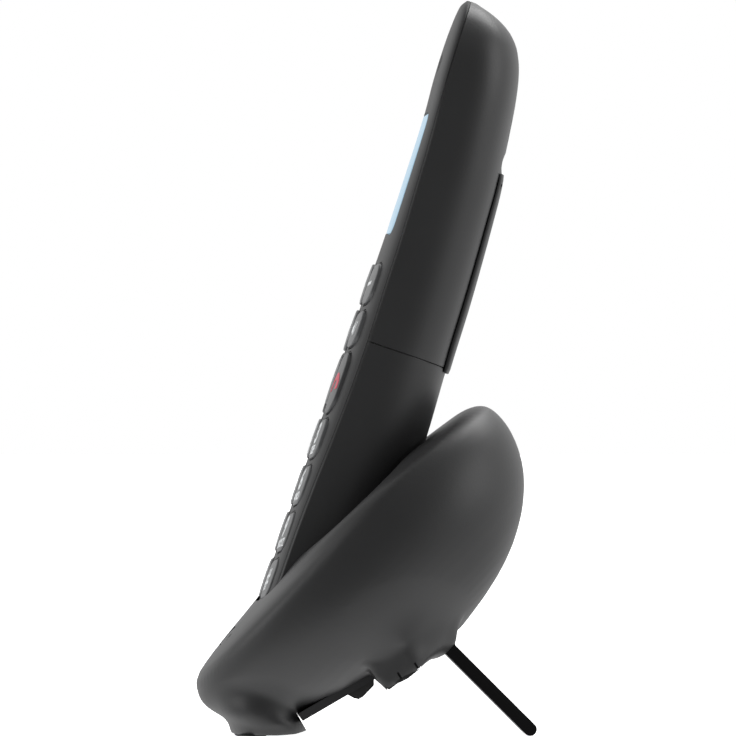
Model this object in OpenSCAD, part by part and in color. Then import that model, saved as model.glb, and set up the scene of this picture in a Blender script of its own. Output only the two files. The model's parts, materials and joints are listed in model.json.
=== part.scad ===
// Cordless telephone: handset standing in its charging base.
// +X is the handset's right side seen from the front, the keypad faces -Y, +Z is up.
// The origin is on the desk under the centre of the whole object.

/* [Handset] */
// Length of the handset along its own axis
hs_len = 169.6; // [160:0.2:176]
// Lean of the handset back from vertical, in degrees
hs_tilt = 19; // [17:0.25:20]
// Wall thickness of the handset shells
hs_wall = 1.8; // [1.6:0.1:2]
// Height of the lens over the display
lens_h = 32; // [31:0.5:34]
// Width of the lens over the display
lens_w = 32; // [31:0.5:34]

/* [Keys] */
// Width of a number key
key_w = 11.4; // [10.5:0.1:11.6]
// Height of a number key
key_h = 10.2; // [9:0.1:10.8]
// Distance between key columns
col_pitch = 13.3; // [13.2:0.1:13.6]
// Distance between number key rows
row_pitch = 12.6; // [12.4:0.1:12.8]
// Gap round each key
key_gap = 0.35; // [0.3:0.05:0.4]
// How far a key travels when pressed
key_travel = 0.8; // [0.5:0.1:0.8]

/* [Base] */
// Thickness of the base shell
base_wall = 2.2; // [2:0.1:2.5]
// Clearance between the handset and the cradle pocket
cradle_gap = 0.6; // [0.5:0.05:0.8]
// Width of the folding rear leg
leg_w = 30; // [26:1:30]
// Thickness of the folding rear leg
leg_t = 3.4; // [3:0.1:3.5]
// Radius of the leg's hinge pin
pin_r = 1.2; // [1:0.1:1.3]

/* [Hidden] */

$fn = 32;

// Where the handset's own frame and the base's own frame stand.
hs_y = -30.87; hs_z = 27.55;
bs_y = -37.03; bs_z = 24.10;
// Hinge axis of the rear leg, and the centre of its rounded tip.
hg_y = 18.65; hg_z = 23.80;
tip_y = 40.75; tip_z = leg_t/2;
// Frame of the flat underside: a point on it and its slope.
un_y = -17.7; un_z = 4.1; un_a = 30.2;

module on_handset() { translate([0, hs_y, hs_z]) rotate([-hs_tilt, 0, 0]) children(); }
module on_base() { translate([0, bs_y, bs_z]) rotate([45, 0, 0]) children(); }
module on_underside() { translate([0, un_y, un_z]) rotate([un_a, 0, 0]) children(); }

// Smooth curve through a table of [x, y] rows.
function seg(x, t, i = 0) = (i >= len(t) - 2 || x < t[i + 1][0]) ? i : seg(x, t, i + 1);
function sl(t, i) = (t[i + 1][1] - t[i][1]) / (t[i + 1][0] - t[i][0]);
function slope(t, i) = i == 0 ? sl(t, 0) : i == len(t) - 1 ? sl(t, i - 1) : 0.5 * (sl(t, i) + sl(t, i - 1));
function crv(x, t) = let (i = seg(x, t), h = t[i + 1][0] - t[i][0], u = (x - t[i][0]) / h,
    a = t[i][1], b = t[i + 1][1], m = slope(t, i) * h, n = slope(t, i + 1) * h)
  (2*u*u*u - 3*u*u + 1) * a + (u*u*u - 2*u*u + u) * m + (3*u*u - 2*u*u*u) * b + (u*u*u - u*u) * n;
function pw(a, e) = pow(max(a, 0), e);

// Handset outline, as a function of height along its axis.
k_len = hs_len / 168;
half_w = [[0, 20.3], [0.7, 21.8], [2, 23.2], [4.5, 24.1], [12, 24.4], [45, 24.6], [80, 25], [120, 25.2], [143, 24.9],
  [152, 24], [158, 22.4], [162, 20.2], [165, 17], [167, 12.6], [168.2, 7]];
front_y = [[0, 3.4], [0.7, 2.2], [2, 1.3], [4.5, 0.75], [12, 0.6], [90, 0.65], [105, 0.7], [125, 0.55], [139, 0.15],
  [147, -0.45], [157, -0.75], [162, -0.65], [165, -0.45], [167, -0.1], [168.2, 0.7]];
back_y = [[0, 23.6], [0.7, 25.1], [2, 26.3], [4.5, 27.1], [12, 27.5], [45, 27.6], [61, 27.4], [79, 26.5], [95, 26.1],
  [109, 25.4], [117, 24.9], [125, 24.3], [132, 23.6], [140, 22.75], [148, 21.7], [155, 20.2], [159, 18.6],
  [162, 16.6], [165, 12.9], [167, 8.2], [168.2, 3.8]];
side_front_y = [[0, 3.6], [26, 3.6], [38.7, 4], [51, 4.6], [66, 5.1], [81, 5.1], [93, 4.8], [105, 4.6], [112, 4.3], [122, 3.8],
  [130, 3.5], [138, 2.9], [145, 2.4], [150, 2.1], [156, 1.9], [162, 1.8], [168.2, 1.75]];
side_back_y = [[0, 10.5], [80, 10.5], [117, 9.5], [136, 8.2], [150, 6.6], [160, 4.6], [166, 2.8], [168.2, 2.1]];
front_n = [[0, 2.2], [100, 2.2], [125, 2.4], [145, 2.8], [168.2, 3]];
parting_y = [[0, 2.8], [26, 2.8], [38.7, 3.2], [51, 3.8], [66, 4.3], [81, 4.3], [93, 4], [105, 3.8], [117, 3.3], [130, 2.7], [140, 2.05],
  [150, 1.6], [160, 1.45], [168.2, 1.5]];

// One closed section of the handset at height z, grown by g.
function hs_sec(z, g, m = 20, zz = undef) = let (h = (zz == undef ? z : zz) / k_len,
    w = crv(h, half_w) + g, f = crv(h, front_y) - g, b = crv(h, back_y) + g,
    s1 = crv(h, side_front_y), s2 = crv(h, side_back_y), nf = crv(h, front_n), nb = 2.3)
  concat([for (k = [0:m]) let (a = -90 + 180 * k / m) [sign(sin(a)) * w * pw(abs(sin(a)), 2 / nf), s1 - (s1 - f) * pw(cos(a), 2 / nf), z]],
    [for (k = [0:m]) let (a = 90 + 180 * k / m) [sign(sin(a)) * w * pw(abs(sin(a)), 2 / nb), s2 + (b - s2) * pw(-cos(a), 2 / nb), z]]);

// Skin over a stack of sections that all have the same number of points.
module skin(s) {
  n = len(s[0]); m = len(s);
  polyhedron(points = [for (r = s) for (p = r) p],
    faces = concat([[for (i = [0:n - 1]) i]], [[for (i = [n - 1:-1:0]) (m - 1) * n + i]],
      [for (j = [0:m - 2]) for (i = [0:n - 1]) let (q = (i + 1) % n) each [[j*n + i, (j + 1)*n + i, (j + 1)*n + q], [j*n + i, (j + 1)*n + q, j*n + q]]]));
}

hs_z_out = [0, 0.7, 2, 4.5, 12, 28, 45, 62, 79, 95, 109, 120, 130, 139, 147, 153, 157, 160, 162.5, 164.5, 166, 167.2, 168.2] * k_len;
hs_z_in = [2, 4, 12, 28, 45, 62, 79, 95, 109, 120, 130, 139, 147, 153, 157, 160, 162.5, 164.5] * k_len;
module handset_outer() skin([for (z = hs_z_out) hs_sec(z, 0)]);
module handset_inner(t) skin([for (z = hs_z_in) hs_sec(z, -t, 20, z > 150 * k_len ? z + 1.6 * (z - 150 * k_len) / 14.5 : z)]);

// Prism across the handset whose outline is given in depth and height.
module across(pts, w = 60) rotate([90, 0, 90]) translate([0, 0, -w / 2]) linear_extrude(w) polygon(pts);
function part_line(d) = [for (z = [0:7.7:165]) [crv(z, parting_y) + d, z * k_len]];
module front_side(d = 0) across(concat([[-12, -8], [crv(0, parting_y) + d, -8]], part_line(d), [[crv(168, parting_y) + d, 190], [-12, 190]]));
module rear_side(d, z0, z1) intersection() {
  across(concat([[60, -8], [crv(0, parting_y) + d, -8]], part_line(d), [[crv(168, parting_y) + d, 190], [60, 190]]));
  translate([-40, -20, z0]) cube([80, 90, z1 - z0]);
}

// Rounded rectangle outline about the origin.
function rrect(w, h, r, n = 5) = [for (c = [[1, 1, 0], [-1, 1, 90], [-1, -1, 180], [1, -1, 270]]) for (k = [0:n])
  let (a = c[2] + 90 * k / n) [c[0] * (w / 2 - r) + r * cos(a), c[1] * (h / 2 - r) + r * sin(a)]];
// Plate with that outline seen from the front, from depth y0 to y1.
module plate(x, z, w, h, r, y0, y1, sh = 0) translate([x, y1, z]) rotate([90, 0, 0]) linear_extrude(y1 - y0)
  polygon([for (p = rrect(w, h, r)) [p[0], p[1] + sh * p[0]]]);

// Key places: name, x, z, width, height, corner radius.
row0 = 13.5;
r_end = [66.4, 16]; r_mid = [80.9, 9.2]; r_top = [93.1, 10.4];
KEYS = [
  ["key_star", -col_pitch, row0, key_w, key_h, 3.2], ["key_0", 0, row0, key_w, key_h, 3.2], ["key_hash", col_pitch, row0, key_w, key_h, 3.2],
  ["key_7", -col_pitch, row0 + row_pitch, key_w, key_h, 3.2], ["key_8", 0, row0 + row_pitch, key_w, key_h, 3.2], ["key_9", col_pitch, row0 + row_pitch, key_w, key_h, 3.2],
  ["key_4", -col_pitch, row0 + 2*row_pitch, key_w, key_h, 3.2], ["key_5", 0, row0 + 2*row_pitch, key_w, key_h, 3.2], ["key_6", col_pitch, row0 + 2*row_pitch, key_w, key_h, 3.2],
  ["key_1", -col_pitch, row0 + 3*row_pitch, key_w, key_h, 3.2], ["key_2", 0, row0 + 3*row_pitch, key_w, key_h, 3.2], ["key_3", col_pitch, row0 + 3*row_pitch, key_w, key_h, 3.2],
  ["key_talk", -col_pitch, r_end[0], key_w, r_end[1], 4.4], ["key_end", col_pitch, r_end[0], key_w, r_end[1], 4.4],
  ["key_redial", -col_pitch, r_mid[0], key_w, r_mid[1], 3.2], ["key_mute", col_pitch, r_mid[0], key_w, r_mid[1], 3.2],
  ["key_soft_left", -col_pitch, r_top[0], key_w, r_top[1], 3.6], ["key_soft_right", col_pitch, r_top[0], key_w, r_top[1], 3.6],
  ["key_up", 0, r_top[0], key_w, r_top[1], 3.6], ["key_select", 0, 80.4, key_w, 11, 5.1], ["key_down", 0, 66.8, key_w, 12.4, 3.6]];

key_top = -0.2; // depth of the key tops
crown_r = 150; // radius across the handset of the face that the key tops follow
flange_y = 5.4; // depth of the keys' retaining flanges

// Outer keys slant up towards the sides.
function slant(k) = k[1] == 0 ? 0 : 0.15 * sign(k[1]);
module key(k) {
  intersection() {
    plate(k[1], k[2], k[3], k[4], k[5], -2, flange_y + 0.1, slant(k));
    translate([0, crown_r + key_top, k[2] - 12]) cylinder(r = crown_r, h = 24, $fn = 360);
  }
  plate(k[1], k[2], k[3] + 1.5, k[4] + 1.5, k[5] + 0.5, flange_y, flange_y + 0.6, slant(k));
}
module named_key(name) color(name == "key_end" ? "#606264" : "#55585a") on_handset() for (k = KEYS) if (k[0] == name) key(k);

module key_openings() for (k = KEYS) plate(k[1], k[2], k[3] + 2*key_gap, k[4] + 2*key_gap, k[5] + key_gap, -3, flange_y - 0.3, slant(k));
// Room inside the front shell for the key flanges.
module flange_room() plate(0, 53.8, 41.6, 94.4, 2, flange_y - 0.45, 12);

lens_z = 122.9; // centre height of the display lens
module front_housing() color("#3a3c3e") on_handset() difference() {
  resize([0, 0, 0]) difference() {
    intersection() { handset_outer(); front_side(); }
    handset_inner(hs_wall);
    difference() { plate(0, lens_z, lens_w + 0.3, lens_h + 0.3, 3.1, -3, 6); translate([0, 1.3, 0]) handset_outer(); }
  }
  key_openings();
  flange_room();
  plate(0, lens_z, lens_w - 2.4, lens_h - 4.4, 1.5, -3, 8);
  for (i = [-2:2]) plate(i * 3.4, 152.5, 1.4, 5.6 - abs(i) * 0.9, 0.65, -4, 4);
  translate([0, 2, 4.6]) rotate([90, 0, 0]) cylinder(r = 0.6, h = 10, center = true, $fn = 24);
}

bat_floor = 13.4; // depth of the battery bay's floor
cover_top = 78.8; cover_low = 7.6;
module screw_post(x, z, y0, y1) translate([x, y0, z]) rotate([-90, 0, 0]) difference() {
  cylinder(r = 2.6, h = y1 - y0, $fn = 28);
  translate([0, 0, -1]) cylinder(r = 1.15, h = y1 - y0 + 2, $fn = 24);
}
module rear_housing() color("#313234") on_handset() difference() {
  union() {
    resize([0, 0, 0]) difference() {
      intersection() { handset_outer(); rear_side(0.08, cover_top + 0.1, 190); }
      handset_inner(hs_wall);
    }
    resize([0, 0, 0]) difference() {
      intersection() { handset_outer(); rear_side(0.08, -8, cover_low - 0.1); }
      handset_inner(hs_wall);
    }
    // battery bay: floor, head and foot walls, side rails
    translate([-21.2, bat_floor, 5.5]) cube([42.4, 1.2, 75.5]);
    intersection() {
      skin([for (z = [cover_top + 0.1, cover_top + 1.7]) hs_sec(z, -hs_wall + 0.4)]);
      translate([-30, bat_floor, 70]) cube([60, 30, 30]);
    }
    intersection() {
      skin([for (z = [cover_low - 1.7, cover_low - 0.1]) hs_sec(z, -hs_wall + 0.4)]);
      translate([-30, bat_floor, 0]) cube([60, 30, 30]);
    }
    for (s = [-1, 1]) translate([s * 21.2 - 0.6, 8.2, 5.5]) cube([1.2, 6.2, 75.5]);
  }
  // sockets of the belt clip and the ringer's sound slots
  for (s = [-1, 1]) translate([s * 7, 22.8, 126.9]) cube([4.4, 8, 3.4], center = true);
  for (i = [-2:2]) plate(i * 3, 142, 1.2, 9 - abs(i), 0.55, 16, 30);
  // contact windows in the foot
  for (s = [-1, 1]) translate([s * 9 - 2.6, 12.4, -1]) cube([5.2, 7.2, 4]);
}
module battery_cover() color("#313234") on_handset() resize([0, 0, 0]) difference() {
  intersection() { handset_outer(); rear_side(0.08, cover_low, cover_top); }
  skin([for (z = [0, 12, 28, 45, 62, 79, 90] * k_len) hs_sec(z, -1.6, 20, max(z, 4.5))]);
}
// Sprung clip on the back, wrapped to the shell's curve.
clip_w = 25;
// Depth of the shell's back at a distance x from the middle and height z.
function back_at(x, z) = let (h = z / k_len, w = crv(h, half_w), s2 = crv(h, side_back_y))
  s2 + (crv(h, back_y) - s2) * pw(1 - pow(abs(x) / w, 2.3), 1 / 2.3);
module belt_clip() color("#101113") on_handset() {
  skin([for (z = [77.9, 84, 92, 100, 109, 117, 124, 130.6]) let (
      t = 1.15 - 0.5 * (z - 77.9) / 52.7, w = clip_w / 2 - 1.5 * pow(abs(z - 104) / 26.7, 4))
    concat([for (x = [-1:0.25:1]) [x * w, back_at(x * w, z) + 0.35, z]], [for (x = [1:-0.25:-1]) [x * (w - 0.15), back_at(x * w, z) + 0.35 + t, z]])]);
  // two feet that snap into the rear shell
  for (s = [-1, 1]) translate([s * 7, back_at(7, 127.2) - 0.2, 127.2]) cube([3.4, 1.6, 1.9], center = true);
}

module display_lens() color("#9fc4dc") on_handset() intersection() {
  plate(0, lens_z, lens_w, lens_h, 3, -3, 6);
  resize([0, 0, 0]) difference() { handset_outer(); translate([0, 1.25, 0]) handset_outer(); }
}
module lcd_module() color("#bfe4f7") on_handset() {
  plate(0, lens_z - 1, 26, 25.4, 1, 3.4, 4.4);
  plate(0, lens_z - 1, 28.6, 29, 1.5, 4.4, 6.1);
}
module earpiece_grille() color("#18191a") on_handset() translate([0, 3.1, 152.5]) rotate([-90, 0, 0]) cylinder(r = 8.9, h = 0.4, $fn = 40);
module earpiece_speaker() color("#b9bcbf") on_handset() translate([0, 3.6, 152.5]) rotate([-90, 0, 0]) {
  cylinder(r = 9, h = 1.8, $fn = 40);
  translate([0, 0, 1.8]) cylinder(r = 5.5, h = 2, $fn = 36);
}
module ringer_speaker() color("#8f9396") on_handset() translate([0, 11.5, 142]) rotate([-90, 0, 0]) {
  cylinder(r = 4.6, h = 2.4, $fn = 36);
  translate([0, 0, 2.4]) cylinder(r = 8, h = 2.4, $fn = 40);
}
module microphone() color("#a9acae") on_handset() translate([0, 5.2, 4.9]) rotate([-90, 0, 0]) cylinder(r = 2.2, h = 2.4, $fn = 32);
module handset_pcb() color("#1f5a35") on_handset() difference() {
  plate(0, 80, 41.2, 148, 3, 8.05, 9.15);
  for (p = [[-17, 101.5], [17, 101.5]]) translate([p[0], 0, p[1]]) rotate([-90, 0, 0]) cylinder(r = 1.6, h = 30, $fn = 24);
}
module keypad_membrane() color("#d8d6cf") on_handset() difference() {
  union() {
    plate(0, 53.6, 40.4, 91, 2, 7.0, 7.5);
    for (k = KEYS) plate(k[1], k[2], 6, 5, 2, 6.95, 7.95);
  }
  for (k = KEYS) translate([k[1], 7.7, k[2]]) rotate([-90, 0, 0]) cylinder(r = 1.8, h = 2, $fn = 24);
}
cell_z = 22; cell_len = 44.5;
module battery_cells() color("#3f7f4f") on_handset() for (s = [-1, 1]) translate([s * 5.7, 19.85, cell_z]) {
  cylinder(r = 5.15, h = cell_len, $fn = 40);
  translate([0, 0, cell_len]) cylinder(r = 1.9, h = 1, $fn = 24);
}
module battery_springs() color("#c9cccf") on_handset() {
  for (s = [-1, 1]) translate([s * 5.7, 19.85, cell_z + cell_len + 1.1]) cylinder(r = 3.4, h = 0.5, $fn = 28);
  translate([-10, 17, cell_z + cell_len + 1.6]) cube([20, 6.4, 0.6]);
  for (s = [-1, 1]) translate([s * 5.7, 19.85, 0]) {
    translate([-3.6, -3.6, cell_z - 6.6]) cube([7.2, 7.2, 0.5]);
    for (i = [0:3]) translate([0, 0, cell_z - 6.1 + i * 1.5]) difference() {
      cylinder(r = 3.4 - i * 0.2, h = 0.8, $fn = 32);
      translate([0, 0, -1]) cylinder(r = 2.2, h = 3, $fn = 28);
    }
    translate([2.25, -0.4, cell_z - 6.3]) cube([0.55, 0.8, 6]);
  }
}
module handset_contacts() color("#d9c58a") on_handset() for (s = [-1, 1]) translate([s * 9 - 2.4, 12.6, 0.5]) cube([4.8, 6.8, 0.8]);
module handset_screws() color("#8a8d90") on_handset() for (p = [[-17, 101.5], [17, 101.5]]) translate([p[0], 6.5, p[1]]) rotate([-90, 0, 0]) {
  cylinder(r = 1.1, h = 5, $fn = 20);
  translate([0, 0, 5]) cylinder(r = 2.1, h = 1.3, $fn = 24);
}
module handset_antenna() color("#cfa964") on_handset() {
  translate([-14, 10, 146]) cube([3, 0.4, 9]);
  translate([-14, 10, 152]) cube([28, 0.4, 3]);
  translate([-13.2, 9.2, 147]) cube([1.4, 0.8, 1.4]);
}

// ---- base ----
// Extent of the base's oval along its face and its half width, by depth below the face.
p_low = [[-2.6, 27], [-2.5, 20.5], [-2.1, 16], [-1.5, 12.6], [-1, 9.5], [-0.4, 4], [0.3, -2.2], [1.2, -7.8], [2.5, -11.9], [4.5, -14.2], [7, -15.2], [10, -15.1],
  [14, -13.9], [19, -11], [24, -7], [29.2, 1], [33, 13.8], [36.5, 26.5], [39, 36], [40.4, 42]];
p_high = [[-2.6, 66], [-2.5, 71], [-2.1, 74.5], [-1.5, 77.2], [-1, 79], [-0.4, 80.7], [0.3, 82.3], [1.2, 84.4], [2.5, 87], [4.5, 89.4], [7, 90.3], [10, 90.5],
  [14, 89.8], [19, 87.8], [24, 84.6], [29.2, 79.2], [33, 73.4], [36.5, 65.6], [39, 56], [40.4, 47]];
b_half = [[-2.6, 32], [-2.5, 35], [-2.1, 37.3], [-1.5, 38.9], [-1, 39.8], [-0.4, 40.5], [0.3, 41.2], [1.2, 42], [2.5, 42.8], [4.5, 43.5], [7, 43.9], [10, 44],
  [14, 43.4], [19, 41.6], [24, 38.5], [29.2, 33.6], [33, 28.6], [36.5, 22], [39, 14], [40.4, 6]];
b_q = [-2.6, -2.5, -2.1, -1.5, -1, -0.4, 0.3, 1.2, 2.5, 4.5, 7, 10, 14, 19, 24, 29.2, 33, 36.5, 39, 40.4];
// Shallow dish in the face, round the handset: depth, low end, high end, half width.
dish = [[1.2, 34, 52, 20], [0.6, 31, 58, 25], [-0.5, 25, 64.5, 29], [-1.5, 21, 68, 31.6], [-2.3, 18.7, 70, 33.2], [-5, 14, 74, 36.4]];
module face_dish() on_base() skin([for (d = dish) let (c = (d[1] + d[2]) / 2, h = (d[2] - d[1]) / 2)
  [for (k = [0:39]) let (a = 9 * k) [sign(cos(a)) * d[3] * pw(abs(cos(a)), 2 / 2.25), c + h * sign(sin(a)) * pw(abs(sin(a)), 2 / 2.25), -d[0]]]]);
b_q_in = [3.4, 4.5, 7, 10, 14, 19, 24, 29.2, 33, 36, 37.6];

function bs_sec(q, g, n = 44, qq = undef) = let (d = qq == undef ? q : qq, lo = crv(d, p_low) - g, hi = crv(d, p_high) + g, w = crv(d, b_half) + g,
    c = lo + (hi - lo) * 0.54, e = 2.25)
  [for (k = [0:n - 1]) let (a = 360 * k / n) [sign(cos(a)) * w * pw(abs(cos(a)), 2 / e),
    c + (sin(a) >= 0 ? hi - c : c - lo) * sign(sin(a)) * pw(abs(sin(a)), 2 / e), -q]];
module base_outer() on_base() skin([for (i = [len(b_q) - 1:-1:0]) bs_sec(b_q[i], 0)]);
module base_inner() on_base() skin([for (i = [len(b_q_in) - 1:-1:0]) bs_sec(b_q_in[i], -base_wall, 44, b_q_in[i] + 1.2 * (b_q_in[i] - 3.4) / 34)]);

// Prism across the base, its outline in world depth and height.
module slab(pts, w) rotate([90, 0, 90]) translate([0, 0, -w / 2]) linear_extrude(w) polygon(pts);

// Handset shape grown into a straight pocket along the lifting direction.
function pocket(g, gf) = let (w = 24.6 + g, f = 0.6 - gf, b = 27.6 + g, s1 = 3.6, s2 = 10.5, nf = 2.2, nb = 2.3, m = 16)
  concat([for (k = [0:m]) let (a = -90 + 180 * k / m) [sign(sin(a)) * w * pw(abs(sin(a)), 2 / nf), s1 - (s1 - f) * pw(cos(a), 2 / nf)]],
    [for (k = [0:m]) let (a = 90 + 180 * k / m) [sign(sin(a)) * w * pw(abs(sin(a)), 2 / nb), s2 + (b - s2) * pw(-cos(a), 2 / nb)]]);
module pocket_room() on_handset() translate([0, 0, -0.35]) linear_extrude(90) polygon(pocket(cradle_gap, 1.45));
module pocket_cup() on_handset() translate([0, 0, -2.35]) linear_extrude(70) polygon(pocket(cradle_gap + 1.8, 3.25));

// Front foot: an oval skirt that flares up into the shell.
foot = [[0, -35.0, -16.0, 25], [0.6, -35.4, -15.4, 25.8], [2.2, -35.7, -15, 26.6], [3.2, -36.2, -15.3, 27.4], [4.8, -37.6, -16.6, 28.6], [6.4, -40.4, -18.2, 29.8], [9, -41.6, -18, 31], [12, -41, -16, 31]];
function foot_sec(r, g = 0, n = 40) = let (c = (r[1] + r[2]) / 2, h = (r[2] - r[1]) / 2 + g, w = r[3] + g)
  [for (k = [0:n - 1]) let (a = 360 * k / n) [sign(cos(a)) * w * pw(abs(cos(a)), 0.8), c + h * sign(sin(a)) * pw(abs(sin(a)), 0.8), r[0]]];
module foot_solid(g = 0) skin([for (r = foot) foot_sec(r, g)]);

cheek_w = 4;
// Cheeks that hold the leg's pin, and the housings of the two sockets in front of them.
module cheeks() for (s = [-1, 1]) translate([s * (leg_w / 2 + 0.4 + cheek_w / 2), 0, 0])
  slab([[12, 19], [16, 19.7], [17.4, 20.0], [18.9, 20.7], [20.9, 22.6], [22.1, 24.0], [22.4, 25.3], [22.2, 27], [23.2, 30.5], [12, 30]], cheek_w);
jack_w = 15.2;
jack_x = leg_w / 2 + 0.4 + jack_w / 2;
module skirts(g = 0) for (s = [-1, 1]) translate([s * jack_x, 0, 0])
  slab([[1.3 - g, 14.4], [4.0, 11.8 - 1.4 * g], [4.95 + 0.6 * g, 12.9 - g], [8.9 + 0.6 * g, 15.05 - g], [11.3 + 0.6 * g, 16.9 - g], [13.4 + 0.6 * g, 19.0 - g], [15.3 + g, 19.9 - g], [16.7 + g, 20.0 - g], [20 + g, 27], [3 - g, 27]], jack_w + 2 * g);
// Frame of a socket's mouth: the origin is in the mouth, local -Z points out of it.
jk_y = 8.3; jk_z = 14.9; jk_a = 36;
module on_jack(s) translate([s * jack_x, jk_y, jk_z]) rotate([jk_a, 0, 0]) children();

module leg_room() {
  // room for the leg's barrel, for the open leg and for the folded leg
  translate([0, hg_y, hg_z]) rotate([0, 90, 0]) cylinder(r = 3.6, h = leg_w + 0.8, center = true, $fn = 40);
  translate([0, hg_y, hg_z]) rotate([180 + un_a, 0, 0]) translate([-leg_w / 2 - 0.4, 0, -2.1]) cube([leg_w + 0.8, 34, 8]);
  translate([0, hg_y, hg_z]) rotate([-45, 0, 0]) translate([-leg_w / 2 - 0.4, 0, -9]) cube([leg_w + 0.8, 34, 11.2]);
}

module base_body() difference() {
  union() {
    difference() {
      base_outer();
      base_inner();
    }
    intersection() { base_outer(); pocket_cup(); }
    difference() {
      foot_solid();
      base_inner();
      translate([-60, -60, -1]) cube([120, 100, 1.6]);
      slab([[-24, 0.5], [-19.4, 0.85], [-15.5, 1.7], [-13, 2.5], [-13, 0.3], [-24, 0.3]], 90);
    }
    intersection() {
      union() {
        cheeks();
        skirts();
      }
      translate([-60, -2, 0]) cube([120, 60, 32]);
    }
    for (p = [[-20, 10], [20, 10]]) on_underside() translate([p[0], p[1], 2.4]) cylinder(r = 2.8, h = 5.2, $fn = 28);
  }
  face_dish();
  pocket_room();
  leg_room();
  // opening for the bottom plate
  on_underside() translate([-24.3, -0.1, -14]) cube([48.6, 22, 16.4]);
  for (s = [-1, 1]) on_jack(s) translate([-6.8, -5.2, -6]) cube([13.6, 10.4, 15.4]);
  page_cut(0.3);
}
module base_shell() color("#3c3d3f") difference() {
  resize([0, 0, 0]) base_body();
  translate([0, hg_y, hg_z]) rotate([0, 90, 0]) cylinder(r = pin_r, h = leg_w + 2 * cheek_w - 1, center = true, $fn = 32);
  for (p = [[-20, 10], [20, 10]]) on_underside() translate([p[0], p[1], 1]) cylinder(r = 1.1, h = 5.6, $fn = 24);
  for (s = [-1, 1]) charge_bore(s, 2.3);
  light_cut();
}
module charge_bore(s, r) on_handset() translate([s * 9, 16, -4]) cylinder(r = r, h = 5, $fn = 28);

// Page key and charge light on the nose of the face.
pg_p = 1.4;
module page_cut(g) on_base() rotate([3.2, 0, 0]) translate([0, pg_p, -4.4]) linear_extrude(9) polygon(rrect(13 + 2 * g, 5.6 + 2 * g, 2.7 + g));
module page_key() color("#4a4c4e") on_base() rotate([3.2, 0, 0]) {
  translate([0, pg_p, -3.6]) linear_extrude(3.75) polygon(rrect(13, 5.6, 2.7));
}
module light_cut() on_base() translate([11.5, pg_p, -6]) cylinder(r = 1.25, h = 9, $fn = 24);
module charge_light() color("#9fe3a5") on_base() translate([11.5, pg_p, -5]) cylinder(r = 1.2, h = 5.05, $fn = 24);

module bottom_cover() color("#141516") difference() {
  on_underside() difference() {
    translate([-24, 0.2, 0]) cube([48, 21.4, 2.2]);
    for (p = [[-20, 10], [20, 10]]) translate([p[0], p[1], -1]) { cylinder(r = 1.5, h = 5, $fn = 24); cylinder(r = 2.6, h = 2.1, $fn = 28); }
  }
  leg_room();
  skirts(0.3);
}

leg_a = -atan2(hg_z - tip_z, tip_y - hg_y);
leg_len = norm([tip_y - hg_y, hg_z - tip_z]);
module stand_leg() color("#121314") translate([0, hg_y, hg_z]) rotate([leg_a, 0, 0]) difference() {
  union() {
    rotate([0, 90, 0]) cylinder(r = 3, h = leg_w, center = true, $fn = 40);
    translate([-leg_w / 2, 0, -leg_t / 2]) cube([leg_w, leg_len, leg_t]);
    translate([0, leg_len, 0]) rotate([0, 90, 0]) cylinder(r = leg_t / 2, h = leg_w, center = true, $fn = 32);
  }
  rotate([0, 90, 0]) cylinder(r = pin_r + 0.06, h = leg_w + 2, center = true, $fn = 32);
}
module leg_pin() color("#9a9da0") translate([0, hg_y, hg_z]) rotate([0, 90, 0]) cylinder(r = pin_r - 0.01, h = leg_w + 2 * cheek_w - 1.4, center = true, $fn = 32);

// Circuit board behind the pocket, with the two sockets low on it.
module base_pcb() color("#1f5a35") on_handset() translate([-20, 33.2, 12.5]) cube([40, 1.4, 28]);
module charge_pin(s) color("#d9c58a") on_handset() translate([s * 9, 16, 0]) {
  translate([0, 0, -2.25]) cylinder(r = 1.2, h = 2.4, $fn = 28);
  translate([0, 0, -3.6]) cylinder(r = 1.9, h = 1.4, $fn = 28);
}
module charge_pin_holder() color("#222426") on_handset() difference() {
  translate([-13, 12.5, -5.6]) cube([26, 7, 3]);
  for (s = [-1, 1]) translate([s * 9, 16, -4.9]) cylinder(r = 2.2, h = 4, $fn = 28);
}
module rubber_feet() color("#1b1c1d") difference() {
  for (s = [-1, 1]) translate([s * 19.6, 0, 0]) slab([[-6.2, 10.9], [-4.5, 9.95], [-3.3, 9.7], [-2.2, 10.3], [0.6, 13.2], [0.6, 15.2], [-1, 15]], 6.4);
  on_underside() translate([-30, -5, -0.02]) cube([60, 60, 20]);
}
module front_foot_pad() color("#1b1c1d") skin([for (z = [0, 0.3, 0.59]) foot_sec([z, -34.4, -26.2, 24 + z * 0.2])]);
module line_jack() color("#c7c9c4") on_jack(1) difference() {
  translate([-6.5, -4.9, 0.3]) cube([13, 9.8, 8.8]);
  translate([-4.9, -3.6, -1]) cube([9.8, 7.2, 8.6]);
}
module power_jack() color("#232425") on_jack(-1) difference() {
  translate([-6.5, -4.9, 0.3]) cube([13, 9.8, 8.8]);
  translate([0, 0, -1]) cylinder(r = 2.9, h = 8.6, $fn = 32);
}
module base_screws() color("#8a8d90") for (p = [[-20, 10], [20, 10]]) on_underside() translate([p[0], p[1], 0]) {
  translate([0, 0, 0.35]) cylinder(r = 2.3, h = 0.7, $fn = 28);
  translate([0, 0, 1.0]) cylinder(r = 1.05, h = 5.2, $fn = 20);
}
module base_antenna() color("#cfa964") on_handset() translate([14, 34.8, 18]) { cube([1.4, 0.5, 22]); translate([-10, 0, 20.6]) cube([11.4, 0.5, 1.4]); }

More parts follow.
